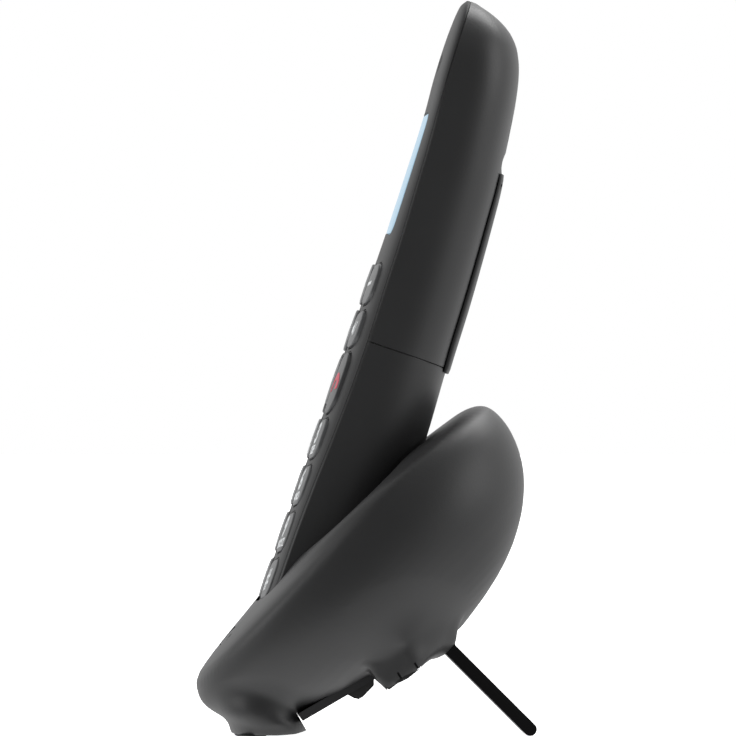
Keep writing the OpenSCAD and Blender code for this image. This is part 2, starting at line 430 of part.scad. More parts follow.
front_housing();
rear_housing();
battery_cover();
belt_clip();
display_lens();
lcd_module();
earpiece_speaker();
earpiece_grille();
ringer_speaker();
microphone();
handset_pcb();
keypad_membrane();
battery_cells();
battery_springs();
handset_contacts();
handset_screws();
handset_antenna();
for (k = KEYS) named_key(k[0]);
base_shell();
bottom_cover();
stand_leg();
leg_pin();
base_pcb();
charge_pin(-1);  // charge_pin_left
charge_pin(1);  // charge_pin_right
charge_pin_holder();
rubber_feet();
front_foot_pad();
line_jack();
power_jack();
page_key();
charge_light();
base_screws();
base_antenna();
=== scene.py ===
import bpy, bmesh, math, json
from mathutils import Matrix, Vector


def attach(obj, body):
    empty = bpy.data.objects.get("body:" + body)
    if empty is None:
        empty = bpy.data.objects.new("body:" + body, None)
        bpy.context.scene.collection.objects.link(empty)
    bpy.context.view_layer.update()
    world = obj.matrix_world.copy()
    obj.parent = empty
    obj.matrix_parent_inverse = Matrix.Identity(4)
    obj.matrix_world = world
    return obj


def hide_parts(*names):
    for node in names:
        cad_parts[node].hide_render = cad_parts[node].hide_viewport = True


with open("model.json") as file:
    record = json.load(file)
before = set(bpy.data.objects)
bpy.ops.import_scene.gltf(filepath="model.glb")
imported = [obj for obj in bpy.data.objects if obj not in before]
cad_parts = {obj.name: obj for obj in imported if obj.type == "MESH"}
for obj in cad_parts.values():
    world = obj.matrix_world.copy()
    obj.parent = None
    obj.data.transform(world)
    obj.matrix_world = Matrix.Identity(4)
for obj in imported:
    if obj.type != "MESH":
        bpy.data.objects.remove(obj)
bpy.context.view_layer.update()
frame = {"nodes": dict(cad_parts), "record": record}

MM = 0.001
rad = math.radians

# ---------------------------------------------------------------- frames of the parts
HT, HY, HZ = 19.0, -30.87, 27.55
BY, BZ = -37.03, 24.10
UY, UZ, UA = -17.7, 4.1, 30.2
GY, GZ = 18.65, 23.80
K = 169.6 / 168.0
LEG_W, LEG_T = 30.0, 3.4
TIP_Y, TIP_Z = 40.75, 1.7
JX, JY, JZ, JA = 15.4 + 7.6, 8.3, 14.9, 36.0
CLW = 25.0


def rx(a, y, z):
    c, s = math.cos(rad(a)), math.sin(rad(a))
    return y * c - z * s, y * s + z * c


def hs(x, y, z):
    y, z = rx(-HT, y, z)
    return (x * MM, (y + HY) * MM, (z + HZ) * MM)


def bs(x, p, z):
    y, z = rx(45, p, z)
    return (x * MM, (y + BY) * MM, (z + BZ) * MM)


def un(x, y, z):
    y, z = rx(UA, y, z)
    return (x * MM, (y + UY) * MM, (z + UZ) * MM)


def jk(s):
    def f(x, y, z):
        y, z = rx(JA, y, z)
        return ((x + s * JX) * MM, (y + JY) * MM, (z + JZ) * MM)
    return f


def wd(x, y, z):
    return (x * MM, y * MM, z * MM)


# ---------------------------------------------------------------- the same curves as the frame
def crv(x, t):
    i = 0
    while i < len(t) - 2 and x >= t[i + 1][0]:
        i += 1

    def sl(i):
        return (t[i + 1][1] - t[i][1]) / (t[i + 1][0] - t[i][0])

    def slope(i):
        if i == 0:
            return sl(0)
        if i == len(t) - 1:
            return sl(i - 1)
        return 0.5 * (sl(i) + sl(i - 1))
    h = t[i + 1][0] - t[i][0]
    u = (x - t[i][0]) / h
    a, b, m, n = t[i][1], t[i + 1][1], slope(i) * h, slope(i + 1) * h
    return (2*u**3 - 3*u*u + 1) * a + (u**3 - 2*u*u + u) * m + (3*u*u - 2*u**3) * b + (u**3 - u*u) * n


def pw(a, e):
    return max(a, 0.0) ** e


def sg(a):
    return 1.0 if a > 1e-9 else (-1.0 if a < -1e-9 else 0.0)


half_w = [[0, 20.3], [0.7, 21.8], [2, 23.2], [4.5, 24.1], [12, 24.4], [45, 24.6], [80, 25], [120, 25.2], [143, 24.9],
          [152, 24], [158, 22.4], [162, 20.2], [165, 17], [167, 12.6], [168.2, 7]]
front_y = [[0, 3.4], [0.7, 2.2], [2, 1.3], [4.5, 0.75], [12, 0.6], [90, 0.65], [105, 0.7], [125, 0.55], [139, 0.15],
           [147, -0.45], [157, -0.75], [162, -0.65], [165, -0.45], [167, -0.1], [168.2, 0.7]]
back_y = [[0, 23.6], [0.7, 25.1], [2, 26.3], [4.5, 27.1], [12, 27.5], [45, 27.6], [61, 27.4], [79, 26.5], [95, 26.1],
          [109, 25.4], [117, 24.9], [125, 24.3], [132, 23.3], [140, 22.25], [148, 21.1], [155, 19.5], [159, 17.9],
          [162, 16], [165, 12.5], [167, 8.1], [168.2, 3.8]]
side_front = [[0, 3.6], [26, 3.6], [38.7, 4], [51, 4.6], [66, 5.1], [81, 5.1], [93, 4.8], [105, 4.6], [112, 4.3], [122, 3.8],
              [130, 3.5], [138, 2.9], [145, 2.4], [150, 2.1], [156, 1.9], [162, 1.8], [168.2, 1.75]]
side_back = [[0, 10.5], [80, 10.5], [117, 9.5], [136, 8.2], [150, 6.6], [160, 4.6], [166, 2.8], [168.2, 2.1]]
front_n = [[0, 2.2], [100, 2.2], [125, 2.4], [145, 2.8], [168.2, 3]]
parting = [[0, 2.8], [26, 2.8], [38.7, 3.2], [51, 3.8], [66, 4.3], [81, 4.3], [93, 4], [105, 3.8], [117, 3.3], [130, 2.7], [140, 2.05],
           [150, 1.6], [160, 1.45], [168.2, 1.5]]
NB = 2.3


def hs_ring(z, g=0.0, m=48, zz=None):
    h = (z if zz is None else zz) / K
    w, f, b = crv(h, half_w) + g, crv(h, front_y) - g, crv(h, back_y) + g
    s1, s2, nf = crv(h, side_front), crv(h, side_back), crv(h, front_n)
    out = []
    for k in range(m + 1):
        a = rad(-90 + 180 * k / m)
        out.append((sg(math.sin(a)) * w * pw(abs(math.sin(a)), 2 / nf), s1 - (s1 - f) * pw(math.cos(a), 2 / nf), z))
    for k in range(m + 1):
        a = rad(90 + 180 * k / m)
        out.append((sg(math.sin(a)) * w * pw(abs(math.sin(a)), 2 / NB), s2 + (b - s2) * pw(-math.cos(a), 2 / NB), z))
    return out


def fy(x, z):
    h = z / K
    w, f, s1, nf = crv(h, half_w), crv(h, front_y), crv(h, side_front), crv(h, front_n)
    return s1 - (s1 - f) * pw(1 - pw(abs(x) / w, nf), 1 / nf)


def byk(x, z):
    h = z / K
    w, s2 = crv(h, half_w), crv(h, side_back)
    return s2 + (crv(h, back_y) - s2) * pw(1 - pw(abs(x) / w, NB), 1 / NB)


# ---------------------------------------------------------------- mesh helpers
def mesh_obj(name, verts, faces, tf=wd):
    me = bpy.data.meshes.new(name)
    me.from_pydata([tf(*v) for v in verts], [], faces)
    me.validate()
    bm = bmesh.new(); bm.from_mesh(me)
    bmesh.ops.recalc_face_normals(bm, faces=bm.faces)
    bm.to_mesh(me); bm.free()
    o = bpy.data.objects.new(name, me)
    bpy.context.scene.collection.objects.link(o)
    return o


def skin(name, rings, tf=wd, cap=True):
    n, m = len(rings[0]), len(rings)
    v = [p for r in rings for p in r]
    f = []
    for j in range(m - 1):
        for i in range(n):
            q = (i + 1) % n
            f.append((j*n + i, (j+1)*n + i, (j+1)*n + q, j*n + q))
    if cap:
        f.append(tuple(range(n)))
        f.append(tuple((m - 1) * n + i for i in range(n - 1, -1, -1)))
    return mesh_obj(name, v, f, tf)


def prism(name, pts, a, b, place):
    """closed prism: outline pts swept from a to b; place(u, v, t) gives the local point"""
    n = len(pts)
    v = [place(u, w, a) for u, w in pts] + [place(u, w, b) for u, w in pts]
    f = [tuple(range(n)), tuple(range(2*n - 1, n - 1, -1))]
    f += [(i, n + i, n + (i + 1) % n, (i + 1) % n) for i in range(n)]
    return v, f


def rrect(w, h, r, n=8, sh=0.0):
    if sh:
        return [(a, b + sh * a) for a, b in rrect(w, h, r, n)]
    out = []
    for cx, cy, a0 in ((1, 1, 0), (-1, 1, 90), (-1, -1, 180), (1, -1, 270)):
        for k in range(n + 1):
            a = rad(a0 + 90 * k / n)
            out.append((cx * (w/2 - r) + r * math.cos(a), cy * (h/2 - r) + r * math.sin(a)))
    return out


def bake(o):
    dg = bpy.context.evaluated_depsgraph_get()
    dg.update()
    me = bpy.data.meshes.new_from_object(o.evaluated_get(dg))
    o.modifiers.clear()
    old = o.data
    o.data = me
    bpy.data.meshes.remove(old)
    me.name = o.name
    return o


def boolean(o, others, op='DIFFERENCE'):
    for c in others:
        n0 = len(o.data.polygons)
        for solver in ('MANIFOLD', 'EXACT'):
            m = o.modifiers.new('b', 'BOOLEAN')
            m.operation, m.solver, m.object = op, solver, c
            dg = bpy.context.evaluated_depsgraph_get(); dg.update()
            me = bpy.data.meshes.new_from_object(o.evaluated_get(dg))
            o.modifiers.clear()
            same = len(me.polygons) == n0 and len(me.vertices) == len(o.data.vertices)
            if len(me.polygons) > 3 and not (same and solver == 'MANIFOLD'):
                break
        old = o.data
        o.data = me
        bpy.data.meshes.remove(old)
        me.name = o.name
        bpy.data.objects.remove(c)
    return o


def smooth(o, angle=32):
    bm = bmesh.new(); bm.from_mesh(o.data)
    bmesh.ops.remove_doubles(bm, verts=bm.verts, dist=2e-6)
    bmesh.ops.dissolve_degenerate(bm, dist=1e-6, edges=bm.edges)
    for f in bm.faces:
        f.smooth = True
    for e in bm.edges:
        e.smooth = len(e.link_faces) == 2 and e.calc_face_angle(0.0) < rad(angle)
    bm.to_mesh(o.data); bm.free()
    return o


def tube(path, r, tf=wd, closed=False, n=8, name='tube'):
    P = [Vector(p) for p in path]
    m = len(P)
    T = []
    for i in range(m):
        a = P[(i + 1) % m] if (closed or i < m - 1) else P[i]
        b = P[(i - 1) % m] if (closed or i > 0) else P[i]
        T.append((a - b).normalized())
    u = T[0].orthogonal().normalized()
    rings = []
    for i in range(m):
        u = (u - T[i] * u.dot(T[i])).normalized()
        w = T[i].cross(u)
        rings.append([tuple(P[i] + (u * math.cos(2*math.pi*k/n) + w * math.sin(2*math.pi*k/n)) * r) for k in range(n)])
    v = [p for q in rings for p in q]
    f = []
    for j in range(m if closed else m - 1):
        jj = (j + 1) % m
        for i in range(n):
            q = (i + 1) % n
            f.append((j*n + i, jj*n + i, jj*n + q, j*n + q))
    if not closed:
        f.append(tuple(range(n))); f.append(tuple((m-1)*n + i for i in range(n-1, -1, -1)))
    return mesh_obj(name, v, f, tf)


def box(x0, x1, y0, y1, z0, z1, tf=wd, name='box'):
    v, f = prism('b', [(x0, y0), (x1, y0), (x1, y1), (x0, y1)], z0, z1, lambda a, b, t: (a, b, t))
    return mesh_obj(name, v, f, tf)


def cyl(x, y, r, z0, z1, tf=wd, n=40, name='cyl'):
    v, f = prism('c', [(x + r * math.cos(2*math.pi*k/n), y + r * math.sin(2*math.pi*k/n)) for k in range(n)], z0, z1, lambda a, b, t: (a, b, t))
    return mesh_obj(name, v, f, tf)


def xcyl(y, z, r, x0, x1, tf=wd, n=40, name='cyl'):
    v, f = prism('c', [(y + r * math.cos(2*math.pi*k/n), z + r * math.sin(2*math.pi*k/n)) for k in range(n)], x0, x1, lambda a, b, t: (t, a, b))
    return mesh_obj(name, v, f, tf)


def slab(pts, x0, x1, tf=wd, name='slab'):
    v, f = prism('s', pts, x0, x1, lambda a, b, t: (t, a, b))
    return mesh_obj(name, v, f, tf)


def front_plate(x, z, w, h, r, y0, y1, name='fp', sh=0.0):
    v, f = prism('p', rrect(w, h, r, 6, sh), y0, y1, lambda a, b, t: (x + a, t, z + b))
    return mesh_obj(name, v, f, hs)


def capped(name, w, h, r, cx, cz, ysurf, fillet, depth, tf, steps=9, n=8, sh=0.0):
    """a rounded-rectangle piece whose top follows ysurf(x, z), with a filleted edge"""
    rings = []
    inner = rrect(w - 2*fillet, h - 2*fillet, max(r - fillet, 0.2), n, sh)
    outer = rrect(w, h, r, n, sh)
    rings.append([(cx + a, ysurf(cx + c, cz + d) + depth, cz + b) for (a, b), (c, d) in zip(outer, inner)])
    for k in range(6):
        t = rad(90 * k / 5)
        ins = fillet * (1 - math.cos(t))
        o = rrect(w - 2*ins, h - 2*ins, max(r - ins, 0.2), n, sh)
        rings.append([(cx + a, ysurf(cx + c, cz + d) + fillet * (1 - math.sin(t)), cz + b) for (a, b), (c, d) in zip(o, inner)])
    for k in range(1, steps):
        s = 1 - k / steps
        rings.append([(cx + a*s, ysurf(cx + a*s, cz + b*s), cz + b*s) for a, b in inner])
    nn = len(rings[0])
    v = [p for q in rings for p in q] + [(cx, ysurf(cx, cz), cz)]
    f = []
    for j in range(len(rings) - 1):
        for i in range(nn):
            q = (i + 1) % nn
            f.append((j*nn + i, (j+1)*nn + i, (j+1)*nn + q, j*nn + q))
    c = len(v) - 1
    j = len(rings) - 1
    f += [(j*nn + i, c, j*nn + (i + 1) % nn) for i in range(nn)]
    f.append(tuple(range(nn)))
    return mesh_obj(name, v, f, tf)


def join(name, objs):
    bm = bmesh.new()
    for o in objs:
        bm.from_mesh(o.data)
    me = bpy.data.meshes.new(name)
    bm.to_mesh(me); bm.free()
    for o in objs:
        bpy.data.objects.remove(o)
    r = bpy.data.objects.new(name, me)
    bpy.context.scene.collection.objects.link(r)
    return r


# ---------------------------------------------------------------- materials
def mat_plastic(name, col, rough=0.4, coat=0.0, grain=0.35, scale=2600.0, var=0.18, spec=0.5, bump=0.00002, wear=0.25, metal=0.0, sub=None, emit=None):
    m = bpy.data.materials.new(name)
    m.use_nodes = True
    nt = m.node_tree
    N, L = nt.nodes, nt.links
    b = N["Principled BSDF"]
    b.inputs["Metallic"].default_value = metal
    b.inputs["Specular IOR Level"].default_value = spec
    b.inputs["Coat Weight"].default_value = coat
    b.inputs["Coat Roughness"].default_value = 0.08
    tc = N.new("ShaderNodeTexCoord")
    big = N.new("ShaderNodeTexNoise"); big.inputs["Scale"].default_value = 38.0; big.inputs["Detail"].default_value = 4.0
    fine = N.new("ShaderNodeTexNoise"); fine.inputs["Scale"].default_value = scale; fine.inputs["Detail"].default_value = 3.0
    vor = N.new("ShaderNodeTexVoronoi"); vor.inputs["Scale"].default_value = scale * 0.7
    for t in (big, fine, vor):
        L.new(tc.outputs["Object"], t.inputs["Vector"])
    # colour: slow variation of the pigment, and a lighter colour on convex edges
    c1 = N.new("ShaderNodeMix"); c1.data_type = 'RGBA'
    lo = [max(0.0, c * (1 - var)) for c in col]; hi = [min(1.0, c * (1 + var)) for c in col]
    c1.inputs[6].default_value = (*lo, 1); c1.inputs[7].default_value = (*hi, 1)
    L.new(big.outputs["Fac"], c1.inputs[0])
    geo = N.new("ShaderNodeNewGeometry")
    ramp = N.new("ShaderNodeValToRGB")
    ramp.color_ramp.elements[0].position = 0.52; ramp.color_ramp.elements[1].position = 0.62
    L.new(geo.outputs["Pointiness"], ramp.inputs["Fac"])
    wm = N.new("ShaderNodeMath"); wm.operation = 'MULTIPLY'; wm.inputs[1].default_value = wear
    L.new(ramp.outputs["Color"], wm.inputs[0])
    c2 = N.new("ShaderNodeMix"); c2.data_type = 'RGBA'
    c2.inputs[7].default_value = (*[min(1.0, c * 1.7 + 0.01) for c in col], 1)
    L.new(wm.outputs[0], c2.inputs[0]); L.new(c1.outputs[2], c2.inputs[6])
    L.new(c2.outputs[2], b.inputs["Base Color"])
    # roughness: finish varies with handling
    rr = N.new("ShaderNodeMapRange")
    rr.inputs["To Min"].default_value = rough * (1 - grain * 0.5); rr.inputs["To Max"].default_value = min(1.0, rough * (1 + grain * 0.5))
    L.new(big.outputs["Fac"], rr.inputs["Value"])
    L.new(rr.outputs["Result"], b.inputs["Roughness"])
    # bump: moulded spark-eroded grain
    mx = N.new("ShaderNodeMath"); mx.operation = 'ADD'
    L.new(fine.outputs["Fac"], mx.inputs[0]); L.new(vor.outputs["Distance"], mx.inputs[1])
    bp = N.new("ShaderNodeBump"); bp.inputs["Strength"].default_value = 0.35; bp.inputs["Distance"].default_value = bump
    L.new(mx.outputs[0], bp.inputs["Height"]); L.new(bp.outputs["Normal"], b.inputs["Normal"])
    if emit:
        b.inputs["Emission Color"].default_value = (*emit[0], 1); b.inputs["Emission Strength"].default_value = emit[1]
    return m


M = {
    "shell": mat_plastic("shell_plastic", (0.021, 0.0212, 0.0218), rough=0.44, grain=0.25, spec=0.42),
    "front": mat_plastic("front_plastic", (0.017, 0.0172, 0.0178), rough=0.5, grain=0.25, spec=0.26),
    "base": mat_plastic("base_plastic", (0.021, 0.0212, 0.0218), rough=0.46, grain=0.25, spec=0.40),
    "key": mat_plastic("key_plastic", (0.095, 0.097, 0.1), rough=0.42, grain=0.3),
    "keydark": mat_plastic("end_key_plastic", (0.05, 0.051, 0.053), rough=0.42, grain=0.3),
    "legend": mat_plastic("legend_ink", (0.75, 0.77, 0.78), rough=0.5, grain=0.2, var=0.05),
    "red": mat_plastic("red_ink", (0.55, 0.01, 0.05), rough=0.45, grain=0.2, var=0.1),
    "green": mat_plastic("green_ink", (0.05, 0.42, 0.12), rough=0.45, grain=0.2, var=0.1),
    "black": mat_plastic("black_gloss", (0.0025, 0.0025, 0.003), rough=0.4, grain=0.3, scale=1800.0, spec=0.14),
    "legblack": mat_plastic("leg_gloss", (0.0025, 0.0025, 0.003), rough=0.26, grain=0.3, scale=1800.0, spec=0.22),
    "lens": mat_plastic("display_lens", (0.14, 0.235, 0.30), rough=0.3, grain=0.2, var=0.04, bump=0.000002, spec=0.12, emit=((0.38, 0.58, 0.74), 0.5)),
    "lcdink": mat_plastic("lcd_ink", (0.02, 0.035, 0.05), rough=0.3, grain=0.2),
    "metal": mat_plastic("bright_steel", (0.62, 0.62, 0.60), rough=0.28, metal=1.0, scale=3200.0, var=0.06),
    "contact": mat_plastic("gold_plate", (0.83, 0.62, 0.28), rough=0.22, metal=1.0, scale=3200.0, var=0.06),
    "board": mat_plastic("solder_mask", (0.015, 0.13, 0.045), rough=0.35, grain=0.4, var=0.3),
    "membrane": mat_plastic("silicone_sheet", (0.62, 0.61, 0.56), rough=0.6),
    "cell": mat_plastic("cell_jacket", (0.03, 0.22, 0.08), rough=0.3, var=0.3),
    "plate": mat_plastic("plate_abs", (0.017, 0.017, 0.018), rough=0.5, grain=0.3, scale=1500.0, spec=0.4),
    "rubber": mat_plastic("foot_rubber", (0.012, 0.012, 0.012), rough=0.75, grain=0.3, scale=1500.0, bump=0.00005),
    "jack": mat_plastic("socket_plastic", (0.012, 0.012, 0.013), rough=0.5),
    "light": mat_plastic("light_pipe", (0.022, 0.026, 0.022), rough=0.35),
    "display": mat_plastic("display_module", (0.5, 0.72, 0.85), rough=0.3),
}


def piece(o, mat, body, slot, *nodes):
    o.data.materials.clear()
    o.data.materials.append(M[mat])
    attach(o, body)
    if nodes:
        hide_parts(*nodes)
    return o


for node, obj in frame["nodes"].items():
    s = [p["material_slot"] for p in frame["record"]["subparts"] if p["node"] == node][0]
    if not obj.material_slots:
        obj.data.materials.append(None)
    for ms in obj.material_slots:
        ms.material = M[s] if s in M else M["shell"]

# ---------------------------------------------------------------- handset
key_w, key_h, cp, rp, gap = 11.4, 10.2, 13.3, 12.6, 0.35
r0 = 13.5
KEYS = [("key_star", -cp, r0, key_w, key_h, 3.2), ("key_0", 0, r0, key_w, key_h, 3.2), ("key_hash", cp, r0, key_w, key_h, 3.2)]
for r, row in enumerate((("7", "8", "9"), ("4", "5", "6"), ("1", "2", "3"))):
    for c, d in enumerate(row):
        KEYS.append(("key_" + d, (c - 1) * cp, r0 + (r + 1) * rp, key_w, key_h, 3.2))
KEYS += [("key_talk", -cp, 66.4, key_w, 16, 4.4), ("key_end", cp, 66.4, key_w, 16, 4.4),
         ("key_redial", -cp, 80.9, key_w, 9.2, 3.2), ("key_mute", cp, 80.9, key_w, 9.2, 3.2),
         ("key_soft_left", -cp, 93.1, key_w, 10.4, 3.6), ("key_soft_right", cp, 93.1, key_w, 10.4, 3.6),
         ("key_up", 0, 93.1, key_w, 10.4, 3.6), ("key_select", 0, 80.4, key_w, 11, 5.1), ("key_down", 0, 66.8, key_w, 12.4, 3.6)]
LZ, LW, LH = 122.9, 32.0, 32.0


def slant(k):
    return 0.0 if k[1] == 0 else 0.15 * sg(k[1])



zs = [0, 0.35, 0.7, 1.2, 2, 3, 4.5, 7] + [12 + 4 * i for i in range(30)] + [131 + 2 * i for i in range(13)] + \
     [156, 157, 158, 159, 160, 161, 162, 163, 164, 165, 165.7, 166.3, 166.8, 167.2, 167.6, 167.95, 168.2]
zs = sorted(set(zs))
zi = [2, 4, 12, 28, 45, 62, 79, 95, 109, 120, 130, 139, 147, 153, 157, 160, 162.5, 164.5]


def outer(name):
    return skin(name, [hs_ring(z * K) for z in zs], hs)


def inner(t=1.8):
    return skin('in', [hs_ring(z * K, -t, 20, z * K if z <= 150 else (z + 1.6 * (z - 150) / 14.5) * K) for z in zi], hs)


def part_prism(d, front):
    ln = [(crv(z, parting) + d, z * K) for z in range(0, 169, 4)]
    far = -12 if front else 60
    pts = [(far, -8), (crv(0, parting) + d, -8)] + ln + [(crv(168, parting) + d, 190), (far, 190)]
    return slab(pts, -30, 30, hs)


def side_x(z, y):
    """half width of the handset at depth y on its front half"""
    h = z / K
    w, f, s1, nf = crv(h, half_w), crv(h, front_y), crv(h, side_front), crv(h, front_n)
    if y >= s1:
        return w
    return w * pw(1 - pw((s1 - y) / (s1 - f), nf), 1 / nf)


def part_groove():
    zz = [0.6, 1, 2, 3, 4.5, 7] + list(range(10, 160, 5)) + [160, 162, 164, 165.5, 166.5, 167.4, 168]
    a = [(side_x(z * K, crv(z, parting) + 0.04), crv(z, parting) + 0.04, z * K) for z in zz]
    top = [(x, 1.54, 168.25 * K) for x in (6, 3, 0, -3, -6)]
    b = [(-p[0], p[1], p[2]) for p in reversed(a)]
    bot = [(x, 2.84, 0.35) for x in (-16, -8, 0, 8, 16)]
    return tube(a + top + b + bot, 0.11, hs, closed=True, n=8)


front = outer("front_housing_v")
boolean(front, [part_prism(0, True)], 'INTERSECT')
boolean(front, [inner()])
cutters = [front_plate(k[1], k[2], k[3] + 2*gap, k[4] + 2*gap, k[5] + gap, -3, 5.1, sh=slant(k)) for k in KEYS]
boolean(front, [join("kc", cutters)])
boolean(front, [front_plate(0, 53.8, 41.6, 94.4, 2, 4.95, 12)])
# rounded rims round the key openings
rims = []
for k in KEYS:
    o = rrect(k[3] + 2*gap, k[4] + 2*gap, k[5] + gap, 5, slant(k))
    rims.append(tube([(k[1] + a, fy(k[1] + a, k[2] + b), k[2] + b) for a, b in o], 0.3, hs, closed=True, n=8))
boolean(front, [join("rims", rims)])
lens_cut = capped("lc", LW + 0.3, LH + 0.3, 3.1, 0, LZ, lambda x, z: fy(x, z) - 1.2, 0.05, 2.45, hs, 6)
boolean(front, [lens_cut])
rim = [(a, fy(a, LZ + b), LZ + b) for a, b in rrect(LW + 0.3, LH + 0.3, 3.1, 6)]
boolean(front, [tube(rim, 0.3, hs, closed=True)])
boolean(front, [front_plate(0, LZ - 0.5, LW - 4.4, LH - 4.4, 1.5, -3, 8)])
boolean(front, [join("slots", [front_plate(i * 3.4, 152.5, 1.4, 5.6 - abs(i) * 0.9, 0.65, -4, 4) for i in range(-2, 3)])])
boolean(front, [front_plate(0, 4.6, 1.2, 1.2, 0.59, -4, 6)])
boolean(front, [part_groove()])
smooth(front)
piece(front, "front", "handset", "shell", "front_housing")

rear = outer("rear_housing_v")
boolean(rear, [part_prism(0.08, False)], 'INTERSECT')
boolean(rear, [inner()])
cover = rear.copy(); cover.data = rear.data.copy(); cover.name = "battery_cover_v"
bpy.context.scene.collection.objects.link(cover)
boolean(rear, [box(-40, 40, -20, 60, 7.5, 78.9, hs)])
boolean(cover, [box(-40, 40, -20, 60, 7.6, 78.8, hs)], 'INTERSECT')


def seam(z, r=0.2):
    ring = hs_ring(z, 0, 60)
    half = [p for p in ring[60:] ]
    return tube(half[:-1], r, hs, n=6)


boolean(rear, [seam(78.86, 0.24)]); boolean(cover, [seam(78.84, 0.24)])
boolean(rear, [seam(7.54)]); boolean(cover, [seam(7.56)])
boolean(rear, [part_groove()]); boolean(cover, [part_groove()])
boolean(rear, [join("rs", [front_plate(i * 3, 142, 1.2, 9 - abs(i), 0.55, 12, 30) for i in range(-2, 3)])])
boolean(rear, [box(-12, 12, 21, 30, 125.3, 128.6, hs)] if False else [box(s * 7 - 2.2, s * 7 + 2.2, 18.8, 26.8, 125.2, 128.6, hs) for s in (-1, 1)])
boolean(rear, [box(s * 9 - 2.6, s * 9 + 2.6, 12.4, 19.6, -1, 3, hs) for s in (-1, 1)])
# finger scoop above the clip
sc = []
for i in range(13):
    a = -90 + 180 * i / 12
    zz_ = 133.6 + 3.1 * math.sin(rad(a)); rr_ = math.cos(rad(a))
    sc.append([(11 * rr_ * math.cos(2*math.pi*k/24), byk(0, 133.6) + 0.15 + 1.25 * rr_ * math.sin(2*math.pi*k/24) - 0.25, zz_) for k in range(24)])
boolean(rear, [skin("scoop", [[(x + 0.001 * i, y, z) for x, y, z in r_] for i, r_ in enumerate(sc[1:-1])], hs)])
smooth(rear); smooth(cover)
piece(rear, "shell", "handset", "shell", "rear_housing")
piece(cover, "shell", "handset", "shell", "battery_cover")

# belt clip: curved spring plate with rounded edges
rings = []
zc = [77.9 + (130.6 - 77.9) * i / 40 for i in range(41)]
for z in zc:
    t = 0.74 - 0.3 * (z - 77.9) / 52.7
    w = CLW / 2 - 1.5 * abs((z - 104) / 26.7) ** 4
    e = min(1.0, (z - 77.9) / 1.2 + 0.35, (130.6 - z) / 1.2 + 0.35)
    rg = []
    for i in range(25):
        x = -1 + i / 12
        rg.append((x * w, byk(x * w, z) + 0.3, z))
    for i in range(25):
        x = 1 - i / 12
        ed = 1 - abs(x) ** 14 * 0.75
        rg.append((x * (w - 0.05), byk(x * w, z) + 0.3 + t * ed * (0.6 + 0.4 * e), z))
    rings.append(rg)
clip = skin("belt_clip_v", rings, hs)
boolean(clip, [box(s * 7 - 1.7, s * 7 + 1.7, byk(7, 127.2) - 1.0, byk(7, 127.2) + 0.6, 126.25, 128.15, hs) for s in (-1, 1)], 'UNION')
smooth(clip, 50)
piece(clip, "black", "clip", "black", "belt_clip")

# keys
R = 150.0


def key_surf(k):
    def f(x, z):
        rho = (abs((x - k[1]) / (k[3] / 2)) ** 3 + abs((z - k[2] - slant(k) * (x - k[1])) / (k[4] / 2)) ** 3) ** (1 / 3)
        return -0.2 + R - math.sqrt(R * R - x * x) + 0.16 * min(rho, 1.2) ** 2.4
    return f


def legend(name, text, size, cx, cz, ysurf, body, mat="legend", lift=0.07, sh=0.0):
    cu = bpy.data.curves.new(name, 'FONT')
    cu.body = text; cu.size = size; cu.align_x = 'CENTER'; cu.align_y = 'CENTER'; cu.resolution_u = 3; cu.offset = size * 0.02
    o = bpy.data.objects.new(name, cu)
    bpy.context.scene.collection.objects.link(o)
    dg = bpy.context.evaluated_depsgraph_get(); dg.update()
    me = bpy.data.meshes.new_from_object(o.evaluated_get(dg))
    bpy.data.objects.remove(o)
    return wrap(name, me, cx, cz, ysurf, body, mat, lift, sh)


def wrap(name, me, cx, cz, ysurf, body, mat, lift, sh=0.0):
    bm = bmesh.new(); bm.from_mesh(me)
    bmesh.ops.remove_doubles(bm, verts=bm.verts, dist=1e-4)
    bmesh.ops.triangulate(bm, faces=bm.faces)
    for _ in range(3):
        es = [e for e in bm.edges if e.calc_length() > 0.7]
        if es:
            bmesh.ops.subdivide_edges(bm, edges=es, cuts=1)
            bmesh.ops.triangulate(bm, faces=[f for f in bm.faces if len(f.verts) > 3])
    top = list(bm.faces)
    ret = bmesh.ops.extrude_face_region(bm, geom=top)
    nv = {g for g in ret["geom"] if isinstance(g, bmesh.types.BMVert)}
    for v in bm.verts:
        x, z = cx + v.co.x, cz + v.co.y + sh * v.co.x
        y = ysurf(x, z) - (lift if v in nv else -0.12)
        v.co = Vector(hs(x, y, z))
    bmesh.ops.recalc_face_normals(bm, faces=bm.faces)
    me2 = bpy.data.meshes.new(name); bm.to_mesh(me2); bm.free()
    o = bpy.data.objects.new(name, me2)
    bpy.context.scene.collection.objects.link(o)
    piece(o, mat, body, "key")
    return o


def flat_mesh(polys):
    me = bpy.data.meshes.new("flat")
    v, f = [], []
    for p in polys:
        f.append(tuple(range(len(v), len(v) + len(p))))
        v += [(a, b, 0) for a, b in p]
    me.from_pydata(v, [], f)
    return me


def ring_poly(r1, r2, a0, a1, n=24, cx=0, cy=0):
    out = []
    for i in range(n):
        a, b = rad(a0 + (a1 - a0) * i / n), rad(a0 + (a1 - a0) * (i + 1) / n)
        out.append([(cx + r1*math.cos(a), cy + r1*math.sin(a)), (cx + r2*math.cos(a), cy + r2*math.sin(a)),
                    (cx + r2*math.cos(b), cy + r2*math.sin(b)), (cx + r1*math.cos(b), cy + r1*math.sin(b))])
    return out


